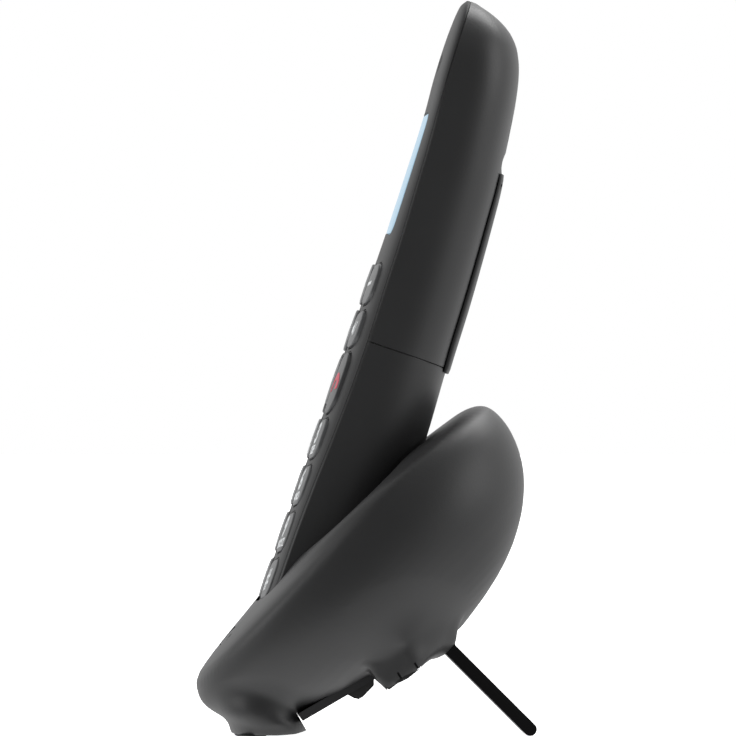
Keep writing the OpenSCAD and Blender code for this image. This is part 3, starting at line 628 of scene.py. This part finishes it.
def handset_icon(s, ang):
    """arched handle with two end pads"""
    P = ring_poly(1.25*s, 2.15*s, 25, 155, 14, 0, -0.9*s)
    for sx in (-1, 1):
        P.append([(sx*1.0*s, -1.0*s), (sx*2.3*s, -1.0*s), (sx*2.15*s, 0.1*s), (sx*1.1*s, 0.0*s)])
    c, d = math.cos(rad(ang)), math.sin(rad(ang))
    return flat_mesh([[(a*c - b*d, a*d + b*c) for a, b in p] for p in P])


letters = {"2": "ABC", "3": "DEF", "4": "GHI", "5": "JKL", "6": "MNO", "7": "PQRS", "8": "TUV", "9": "WXYZ"}
for k in KEYS:
    ks = key_surf(k)
    sh = slant(k)
    o = capped(k[0] + "_v", k[3], k[4], k[5], k[1], k[2], ks, 0.38, 5.0, hs, 8, sh=sh)
    boolean(o, [front_plate(k[1], k[2], k[3] + 1.5, k[4] + 1.5, k[5] + 0.5, 5.4, 6.0, sh=sh)], 'UNION')
    smooth(o, 40)
    piece(o, "keydark" if k[0] == "key_end" else "key", k[0], "key", k[0])
    n = k[0][4:]
    if n in ("0", "1", "star", "hash") or n in letters:
        ch = {"star": "*", "hash": "#"}.get(n, n)
        two = n in letters or n == "0"
        sz = 7.6 if ch != "*" else 10.0
        legend(k[0] + "_digit", ch, sz, k[1], k[2] + (1.2 if two else (-1.2 if ch == "*" else 0)), ks, k[0], sh=sh)
        if n in letters:
            legend(k[0] + "_letters", letters[n], 3.1, k[1], k[2] - 3.2, ks, k[0], sh=sh)
        if n == "0":
            legend(k[0] + "_letters", "+", 3.4, k[1], k[2] - 3.2, ks, k[0], sh=sh)
    elif n == "end":
        wrap(k[0] + "_icon", handset_icon(2.1, 0), k[1], k[2], ks, k[0], "red", 0.08, sh)
    elif n == "talk":
        wrap(k[0] + "_icon", handset_icon(2.1, 90), k[1], k[2], ks, k[0], "green", 0.08, sh)
    elif n == "select":
        wrap(k[0] + "_icon", flat_mesh(ring_poly(1.5, 2.1, 0, 360, 28)), k[1], k[2], ks, k[0], "legend", 0.07, sh)
    elif n in ("up", "down"):
        s = 1 if n == "up" else -1
        wrap(k[0] + "_icon", flat_mesh([[(-2.2, -1.1*s), (2.2, -1.1*s), (0, 1.6*s)]]), k[1], k[2], ks, k[0], "legend", 0.07, sh)
    elif n == "redial":
        wrap(k[0] + "_icon", flat_mesh(ring_poly(1.6, 2.2, 30, 310, 24) + [[(2.9, 0.7), (0.9, 0.7), (1.9, 2.4)]]), k[1], k[2], ks, k[0], "legend", 0.07, sh)
    elif n == "mute":
        wrap(k[0] + "_icon", flat_mesh([[(-2.4, -0.8), (-1.0, -0.8), (-1.0, 0.8), (-2.4, 0.8)], [(-1.0, -0.8), (0.6, -2.0), (0.6, 2.0), (-1.0, 0.8)],
                                        [(1.2, -1.5), (1.6, -1.8), (3.0, 1.5), (2.6, 1.8)]]), k[1], k[2], ks, k[0], "legend", 0.07, sh)
    else:
        wrap(k[0] + "_icon", flat_mesh([[(-2.4, -0.45), (2.4, -0.45), (2.4, 0.45), (-2.4, 0.45)]]), k[1], k[2], ks, k[0], "legend", 0.07, sh)

# display
lens = capped("display_lens_v", LW, LH, 3.0, 0, LZ, lambda x, z: fy(x, z) - 0.02, 0.25, 1.2, hs, 14)
smooth(lens, 40)
piece(lens, "lens", "handset", "lens", "display_lens")
lensf = lambda x, z: fy(x, z) - 0.02
fr = []
o_ = rrect(LW - 0.9, LH - 0.9, 2.7, 8); i_ = rrect(LW - 3.4, LH - 4.4, 1.6, 8)
for j in range(len(o_)):
    q = (j + 1) % len(o_)
    fr.append([o_[j], o_[q], i_[q], i_[j]])


# ---------------------------------------------------------------- base
p_low = [[-1.7, 28], [-1.6, 25], [-1.3, 21.5], [-0.8, 17.8], [-0.2, 13.2], [0.5, 7.2], [1.3, -1], [2.5, -10.2], [4.5, -13.8], [7, -15.2], [10, -15.1],
         [14, -13.9], [19, -11], [24, -7], [29.2, 1], [33, 13.8], [36.5, 26.5], [39, 36], [40.4, 42]]
p_high = [[-1.7, 66], [-1.6, 68.5], [-1.3, 71], [-0.8, 73.6], [-0.2, 79], [0.5, 84.2], [1.3, 86.4], [2.5, 88.2], [4.5, 89.7], [7, 90.4], [10, 90.5],
          [14, 89.8], [19, 87.8], [24, 84.6], [29.2, 79.2], [33, 73.4], [36.5, 65.6], [39, 56], [40.4, 47]]
b_half = [[-1.7, 36], [-1.6, 38.5], [-1.3, 40], [-0.8, 41.1], [-0.2, 41.9], [0.5, 42.5], [1.3, 42.95], [2.5, 43.4], [4.5, 43.8], [7, 44], [10, 44],
          [14, 43.4], [19, 41.6], [24, 38.5], [29.2, 33.6], [33, 28.6], [36.5, 22], [39, 14], [40.4, 6]]
dish = [[1.2, 37, 51, 20], [0.95, 34, 56, 26], [0.3, 31, 60.5, 31.6], [-0.5, 28.5, 63.5, 35], [-1.25, 27, 65.5, 37.2], [-4.5, 23, 69.5, 41.5]]


def oval(w, lo, hi, c, z, n, e=2.25):
    out = []
    for k in range(n):
        a = 2 * math.pi * k / n
        ca, sa = math.cos(a), math.sin(a)
        out.append((sg(ca) * w * pw(abs(ca), 2/e), c + (hi - c if sa >= 0 else c - lo) * sg(sa) * pw(abs(sa), 2/e), z))
    return out


def lean(q, ring):
    k = 0.036 * (1.0 if q < 0 else max(0.0, 1 - q / 6))
    return [(x, p, -(q + k * (p - 46))) for x, p, z in ring]


def body_ring(q, n=120):
    lo, hi, w = crv(q, p_low), crv(q, p_high), crv(q, b_half)
    return lean(q, oval(w, lo, hi, lo + (hi - lo) * 0.54, -q, n))


qs = [-1.7, -1.65, -1.6, -1.45, -1.3, -1.05, -0.8, -0.5, -0.2, 0.15, 0.5, 0.9, 1.3, 1.9, 2.5, 3.5, 4.5, 5.7, 7, 8.5, 10, 12, 14, 16.5, 19, 21.5, 24, 26.5, 29.2,
      31, 33, 34.8, 36.5, 37.8, 39, 39.8, 40.4]
base = skin("base_shell_v", [body_ring(q) for q in reversed(qs)], bs)
foot = [[0, -35.0, -16.0, 25], [0.6, -35.4, -15.4, 25.8], [2.2, -35.7, -15, 26.6], [3.2, -36.2, -15.3, 27.4], [4.8, -37.6, -16.6, 28.6],
        [6.4, -39.8, -18.2, 29.2], [9, -40.4, -18, 28.6], [12, -39, -16, 26.5]]


def foot_ring(r, n=72):
    c, h = (r[1] + r[2]) / 2, (r[2] - r[1]) / 2
    return oval(r[3], c - h, c + h, c, r[0], n, 2.5)


def shell_x(y, z):
    p, d = ((y + 37.03) + (z - 24.1)) * 0.7071, ((y + 37.03) - (z - 24.1)) * 0.7071
    q = d
    for k in range(12):
        q = d - 0.036 * (1.0 if q < 0 else max(0.0, 1 - q / 6)) * (p - 46)
    q = max(-1.7, min(40.4, q))
    lo, hi, w = crv(q, p_low), crv(q, p_high), crv(q, b_half)
    c = lo + (hi - lo) * 0.54
    r = abs(p - c) / ((hi - c) if p > c else (c - lo))
    return w * (1 - r ** 2.25) ** (1 / 2.25) if r < 1 else None


add = [skin("foot", [foot_ring(r) for r in foot], wd)]
for s in (-1, 1):
    x0 = s * JX
    side = [(1.3, 14.4, 30.2), (4.0, 11.8, 29.8), (4.95, 12.9, 30.1), (8.9, 15.05, 30.6), (11.3, 16.9, 30.6), (13.6, 19.0, 30.0), (15.3, 19.9, 28.5),
            (16.7, 20.0, 26.0), (18.5, 23, 22.5), (20, 27, 21.0), (19, 31, None), (14, 33, None), (8, 33, None), (2, 31, None), (-1, 27.5, None),
            (-1.8, 23, None), (-2.2, 19.5, None)]
    side = [(y, z, x if x else shell_x(y, z) - 0.4) for y, z, x in side]
    n = len(side)
    v = [(s * x, y, z) for y, z, x in side] + [(s * 14.8, y, z) for y, z, x in side] + [(s * 32.8, 9, 24), (s * 14.8, 9, 24)]
    f = [(i, (i + 1) % n, 2 * n) for i in range(n)] + [(n + (i + 1) % n, n + i, 2 * n + 1) for i in range(n)]
    f += [(i, n + i, n + (i + 1) % n, (i + 1) % n) for i in range(n)]
    o = mesh_obj('housing', v, f, wd)
    bm = bmesh.new(); bm.from_mesh(o.data)
    bmesh.ops.recalc_face_normals(bm, faces=bm.faces)
    bm.to_mesh(o.data); bm.free()
    add.append(o)
    x0 = s * 17.4
    add.append(slab([(12, 19), (16, 19.7), (17.4, 20.0), (18.9, 20.7), (20.9, 22.6), (22.1, 24.0), (22.4, 25.3), (22.2, 27), (23.2, 30.5), (12, 30)], x0 - 2, x0 + 2))
boolean(base, add, 'UNION')
boolean(base, [skin("dish", [lean(d[0], oval(d[3], d[1], d[2], (d[1] + d[2]) / 2, -d[0], 96)) for d in dish], bs)])
m = base.modifiers.new('r', 'REMESH'); m.mode = 'VOXEL'; m.voxel_size = 0.0008; m.adaptivity = 0
bake(base)
vg = base.vertex_groups.new(name="blend")
edge = [(-1.8, 23), (-1, 28), (2, 31), (8, 33), (14, 33), (19, 31), (20, 27), (18.5, 23)]
for v in base.data.vertices:
    x, y, z = [c / MM for c in v.co]
    d = math.sqrt(max(0, 26 - abs(x)) ** 2 + (y - 18.5) ** 2 + (z - 26) ** 2)
    wgt = max(0.0, min(1.0, (11 - d) / 6))
    if abs(x) > 18 and z > 20 and -12 < y < 30:
        dj = 99.0
        for k in range(len(edge) - 1):
            (y0, z0), (y1, z1) = edge[k], edge[k + 1]
            t = max(0.0, min(1.0, ((y - y0) * (y1 - y0) + (z - z0) * (z1 - z0)) / ((y1 - y0) ** 2 + (z1 - z0) ** 2)))
            dj = min(dj, math.hypot(y - y0 - t * (y1 - y0), z - z0 - t * (z1 - z0)))
        wgt = max(wgt, max(0.0, min(1.0, (8 - dj) / 4)) * min(1.0, (z - 20) / 2.5))
    df = math.sqrt((y + 29) ** 2 * 0.2 + (z - 9.5) ** 2)
    wgt = max(wgt, 0.75 * max(0.0, min(1.0, (6.5 - df) / 3)))
    if wgt > 0:
        vg.add([v.index], wgt, 'REPLACE')
m = base.modifiers.new('s', 'SMOOTH'); m.factor = 0.5; m.iterations = 5
m = base.modifiers.new('s2', 'SMOOTH'); m.factor = 0.8; m.iterations = 90; m.vertex_group = "blend"
bake(base)
base.vertex_groups.clear()


def pocket(g, gf, m=40):
    w, f, b, s1, s2, nf, nb = 24.6 + g, 0.6 - gf, 27.6 + g, 3.6, 10.5, 2.2, 2.3
    out = []
    for k in range(m + 1):
        a = rad(-90 + 180 * k / m)
        out.append((sg(math.sin(a)) * w * pw(abs(math.sin(a)), 2/nf), s1 - (s1 - f) * pw(math.cos(a), 2/nf)))
    for k in range(1, m):
        a = rad(90 + 180 * k / m)
        out.append((sg(math.sin(a)) * w * pw(abs(math.sin(a)), 2/nb), s2 + (b - s2) * pw(-math.cos(a), 2/nb)))
    return out


v, f = prism('p', pocket(0.6, 0.85), -0.35, 90, lambda a, b, t: (a, b, t))
cuts = [mesh_obj('pk', v, f, hs)]
lw = LEG_W / 2 + 0.4


def leg_tf(ang):
    def g(x, y, z):
        y, z = rx(ang, y, z)
        return (x * MM, (y + GY) * MM, (z + GZ) * MM)
    return g


def leg_cuts():
    return [xcyl(GY, GZ, 3.6, -lw, lw), box(-lw, lw, 0, 34, -2.1, 5.9, leg_tf(180 + UA)), box(-lw, lw, 0, 34, -9, 2.2, leg_tf(-45))]


cuts += leg_cuts()
cuts.append(box(-24.3, 24.3, -0.1, 21.9, -14, 2.4, un))
for s in (-1, 1):
    cuts.append(box(-6.8, 6.8, -5.2, 5.2, -6, 9.4, jk(s)))
for s in (-1, 1):
    a, b = sorted((s * 30.05, s * 31.5))
    cuts.append(slab([(4.7, 12.9), (6.3, 14.7), (8.3, 15.95), (10.2, 16.8), (11.9, 17.35), (12.4, 15.5), (9, 12.5), (5, 11.5)], a, b))
    for cy, cz in ((6.8, 15.9), (11.1, 18.4)):
        ux, uz, vx, vz = 0.847 * 0.27, 0.533 * 0.27, -0.533 * 0.95, 0.847 * 0.95
        cuts.append(slab([(cy - ux - vx, cz - uz - vz), (cy + ux - vx, cz + uz - vz), (cy + ux + vx, cz + uz + vz), (cy - ux + vx, cz - uz + vz)], *sorted((s * 29.45, s * 34))))
cuts.append(xcyl(GY, GZ, 1.2, -18.5, 18.5))
cuts += [cyl(s * 9, 16, 2.3, -4, 1, hs) for s in (-1, 1)]
cuts.append(slab([(-60, 0.6), (-24, 0.6), (-19.4, 0.85), (-15.5, 1.7), (-13, 2.5), (0, 3), (60, 3), (60, -5), (-60, -5)], -60, 60))

# the hollow inside the shell, round the cradle cup and the cheeks
qi = [3.9, 4.8, 7, 10, 14, 19, 24, 29.2, 33, 36, 37.6]


def body_inner_ring(q, n=72):
    d = q + 1.2 * (q - 3.4) / 34
    lo, hi, w = crv(d, p_low) + 2.2, crv(d, p_high) - 2.2, crv(d, b_half) - 2.2
    return lean(q, oval(w, lo, hi, lo + (hi - lo) * 0.54, -q, n))


hollow = skin("hollow", [body_inner_ring(q) for q in reversed(qi)], bs)
v, f = prism('cup', pocket(2.4, 3.25), -2.35, 68, lambda a, b, t: (a, b, t))
keep = [mesh_obj('cup', v, f, hs)]
for s in (-1, 1):
    keep.append(slab([(0.9, 14.2), (3.6, 11.4), (5.0, 12.6), (9.2, 14.8), (11.6, 16.6), (13.9, 18.8), (8.9, 27), (2.6, 27)], s * JX - 7.9, s * JX + 7.9))
    keep.append(slab([(12, 19), (16, 19.7), (17.4, 20.0), (18.9, 20.7), (20.9, 22.6), (22.1, 24.0), (22.4, 25.3), (22.2, 27), (23.2, 30.5), (12, 30)], s * 17.4 - 2, s * 17.4 + 2))
    keep.append(cyl(s * 20, 10, 2.8, 2.4, 7.6, un))
boolean(hollow, keep)
cuts.append(hollow)


def pg(x, p, z):
    p, z = rx(3.2, p, z)
    return bs(x, p, z)


v, f = prism('p', rrect(13.6, 6.2, 3.0, 8), -4.4, 6, lambda a, b, t: (a, b + 1.4, t))
cuts.append(mesh_obj('pgc', v, f, pg))
cuts.append(cyl(11.5, 1.4, 1.25, -6, 6, bs))
boolean(base, cuts)
smooth(base, 38)
piece(base, "base", "base", "shell", "base_shell")

# bottom cover
cov = box(-24, 24, 0.2, 21.6, 0, 2.2, un, "bottom_cover_v")
boolean(cov, leg_cuts())
for s in (-1, 1):
    boolean(cov, [slab([(1.0, 14.4), (3.8, 11.4), (5.13, 12.6), (9.1, 14.75), (11.5, 16.6), (13.6, 18.7), (20, 20), (20, 27), (2.7, 27)], s * JX - 7.9, s * JX + 7.9)])
    boolean(cov, [cyl(s * 20, 10, 1.5, -1, 4, un), cyl(s * 20, 10, 2.6, -1, 1.1, un)])
bm = bmesh.new(); bm.from_mesh(cov.data)
bmesh.ops.bevel(bm, geom=[e for e in bm.edges if e.is_manifold and e.calc_face_angle(0) > rad(60)], offset=0.0002, segments=2, affect='EDGES', clamp_overlap=True)
bm.to_mesh(cov.data); bm.free()
smooth(cov, 35)
piece(cov, "plate", "base", "black", "bottom_cover")

# leg
la = -math.degrees(math.atan2(GZ - TIP_Z, TIP_Y - GY))
ll = math.hypot(TIP_Y - GY, GZ - TIP_Z)
prof = []
for i in range(17):
    a = rad(-90 + 180 * i / 16)
    prof.append((ll + LEG_T/2 * math.cos(a), LEG_T/2 * math.sin(a)))
for i in range(25):
    a0 = math.degrees(math.asin(LEG_T / 2 / 3.0))
    a = rad(a0 + (360 - 2 * a0) * i / 24)
    prof.append((3.0 * math.cos(a), 3.0 * math.sin(a)))
leg = slab(prof, -LEG_W/2, LEG_W/2, leg_tf(la), "stand_leg_v")
boolean(leg, [xcyl(0, 0, 1.26, -20, 20, leg_tf(la))])
bm = bmesh.new(); bm.from_mesh(leg.data)
bmesh.ops.bevel(bm, geom=[e for e in bm.edges if e.is_manifold and e.calc_face_angle(0) > rad(60)], offset=0.00045, segments=3, affect='EDGES', clamp_overlap=True)
bm.to_mesh(leg.data); bm.free()
smooth(leg, 35)
piece(leg, "legblack", "leg", "black", "stand_leg")

# page key
pk = capped("page_key_v", 13, 5.6, 2.7, 0, 0, lambda x, z: -0.15 + 0.25 * ((x/6.5)**2 + (z/2.8)**2) * 0.5, 0.35, 3.6, lambda x, y, z: pg(x, z + 1.4, -y), 6)
smooth(pk, 40)
piece(pk, "base", "page_button", "key", "page_key")

# ---------------------------------------------------------------- stage
fl = bpy.data.meshes.new("floor")
fl.from_pydata([(-8, -8, 0), (8, -8, 0), (8, 8, 0), (-8, 8, 0)], [], [(0, 1, 2, 3)])
floor = bpy.data.objects.new("floor", fl)
bpy.context.scene.collection.objects.link(floor)
fm = bpy.data.materials.new("floor_white"); fm.use_nodes = True
fb = fm.node_tree.nodes["Principled BSDF"]
fb.inputs["Base Color"].default_value = (0.9, 0.9, 0.9, 1); fb.inputs["Roughness"].default_value = 0.9
fb.inputs["Specular IOR Level"].default_value = 0.0
fb.inputs["Emission Color"].default_value = (1, 1, 1, 1); fb.inputs["Emission Strength"].default_value = 0.97
fl.materials.append(fm)
floor.visible_diffuse = False
floor.visible_glossy = False

w = bpy.data.worlds.new("studio"); bpy.context.scene.world = w; w.use_nodes = True
nt = w.node_tree; N, L = nt.nodes, nt.links
bg = N["Background"]
tc = N.new("ShaderNodeTexCoord"); sp = N.new("ShaderNodeSeparateXYZ")
L.new(tc.outputs["Generated"], sp.inputs[0])
mr = N.new("ShaderNodeMapRange"); mr.interpolation_type = 'SMOOTHSTEP'
mr.inputs["From Min"].default_value = 0.25; mr.inputs["From Max"].default_value = 0.99
mr.inputs["To Min"].default_value = 1.0; mr.inputs["To Max"].default_value = 0.27
L.new(sp.outputs["X"], mr.inputs["Value"])
mz = N.new("ShaderNodeMapRange"); mz.interpolation_type = 'SMOOTHSTEP'
mz.inputs["From Min"].default_value = 0.15; mz.inputs["From Max"].default_value = 0.9
mz.inputs["To Min"].default_value = 1.0; mz.inputs["To Max"].default_value = 0.75
L.new(sp.outputs["Z"], mz.inputs["Value"])
mm = N.new("ShaderNodeMath"); mm.operation = 'MULTIPLY'
L.new(mr.outputs["Result"], mm.inputs[0]); L.new(mz.outputs["Result"], mm.inputs[1])
mb = N.new("ShaderNodeMapRange"); mb.interpolation_type = 'SMOOTHSTEP'
mb.inputs["From Min"].default_value = -0.8; mb.inputs["From Max"].default_value = -0.3
mb.inputs["To Min"].default_value = 1.9; mb.inputs["To Max"].default_value = 0.0
L.new(sp.outputs["Z"], mb.inputs["Value"])
mx_ = N.new("ShaderNodeMath"); mx_.operation = 'MAXIMUM'
L.new(mm.outputs[0], mx_.inputs[0]); L.new(mb.outputs["Result"], mx_.inputs[1])
cb = N.new("ShaderNodeCombineColor")
for i in range(3):
    L.new(mx_.outputs[0], cb.inputs[i])
L.new(cb.outputs[0], bg.inputs["Color"]); bg.inputs["Strength"].default_value = 0.95
bg2 = N.new("ShaderNodeBackground"); bg2.inputs["Color"].default_value = (1, 1, 1, 1); bg2.inputs["Strength"].default_value = 1.0
lp = N.new("ShaderNodeLightPath"); mixs = N.new("ShaderNodeMixShader")
L.new(lp.outputs["Is Camera Ray"], mixs.inputs[0]); L.new(bg.outputs[0], mixs.inputs[1]); L.new(bg2.outputs[0], mixs.inputs[2])
L.new(mixs.outputs[0], N["World Output"].inputs["Surface"])


def area(name, loc, target, size, power):
    d = bpy.data.lights.new(name, 'AREA'); d.shape = 'RECTANGLE'; d.size, d.size_y = size; d.energy = power
    o = bpy.data.objects.new(name, d); bpy.context.scene.collection.objects.link(o)
    o.location = loc
    o.rotation_euler = (Vector(target) - Vector(loc)).to_track_quat('-Z', 'Y').to_euler()
    return o


area("top", (-0.6, 0.5, 1.1), (0, 0, 0.08), (0.8, 0.8), 9)
area("front_left", (0.35, -1.2, 0.4), (0, 0, 0.1), (0.8, 0.9), 2.0)
area("low_left", (0.10, -0.75, 0.16), (0.03, -0.03, 0.04), (0.6, 0.4), 0.9)
area("back", (0.25, 1.2, 0.45), (0, 0.02, 0.1), (0.8, 0.8), 4)

cd = bpy.data.cameras.new("cam"); cam = bpy.data.objects.new("cam", cd)
bpy.context.scene.collection.objects.link(cam)
AZ, D = rad(88.0), 2.5
tgt = Vector((0, -0.00013, 0.09385))
cam.location = tgt + Vector((math.sin(AZ) * D, -math.cos(AZ) * D, 0))
cam.rotation_euler = (tgt - cam.location).to_track_quat('-Z', 'Y').to_euler()
cd.sensor_width = 36; cd.angle = 2 * math.atan(0.18872 / 2 / D); cd.clip_end = 50
bpy.context.scene.camera = cam
bpy.context.scene.view_settings.view_transform = 'Standard'
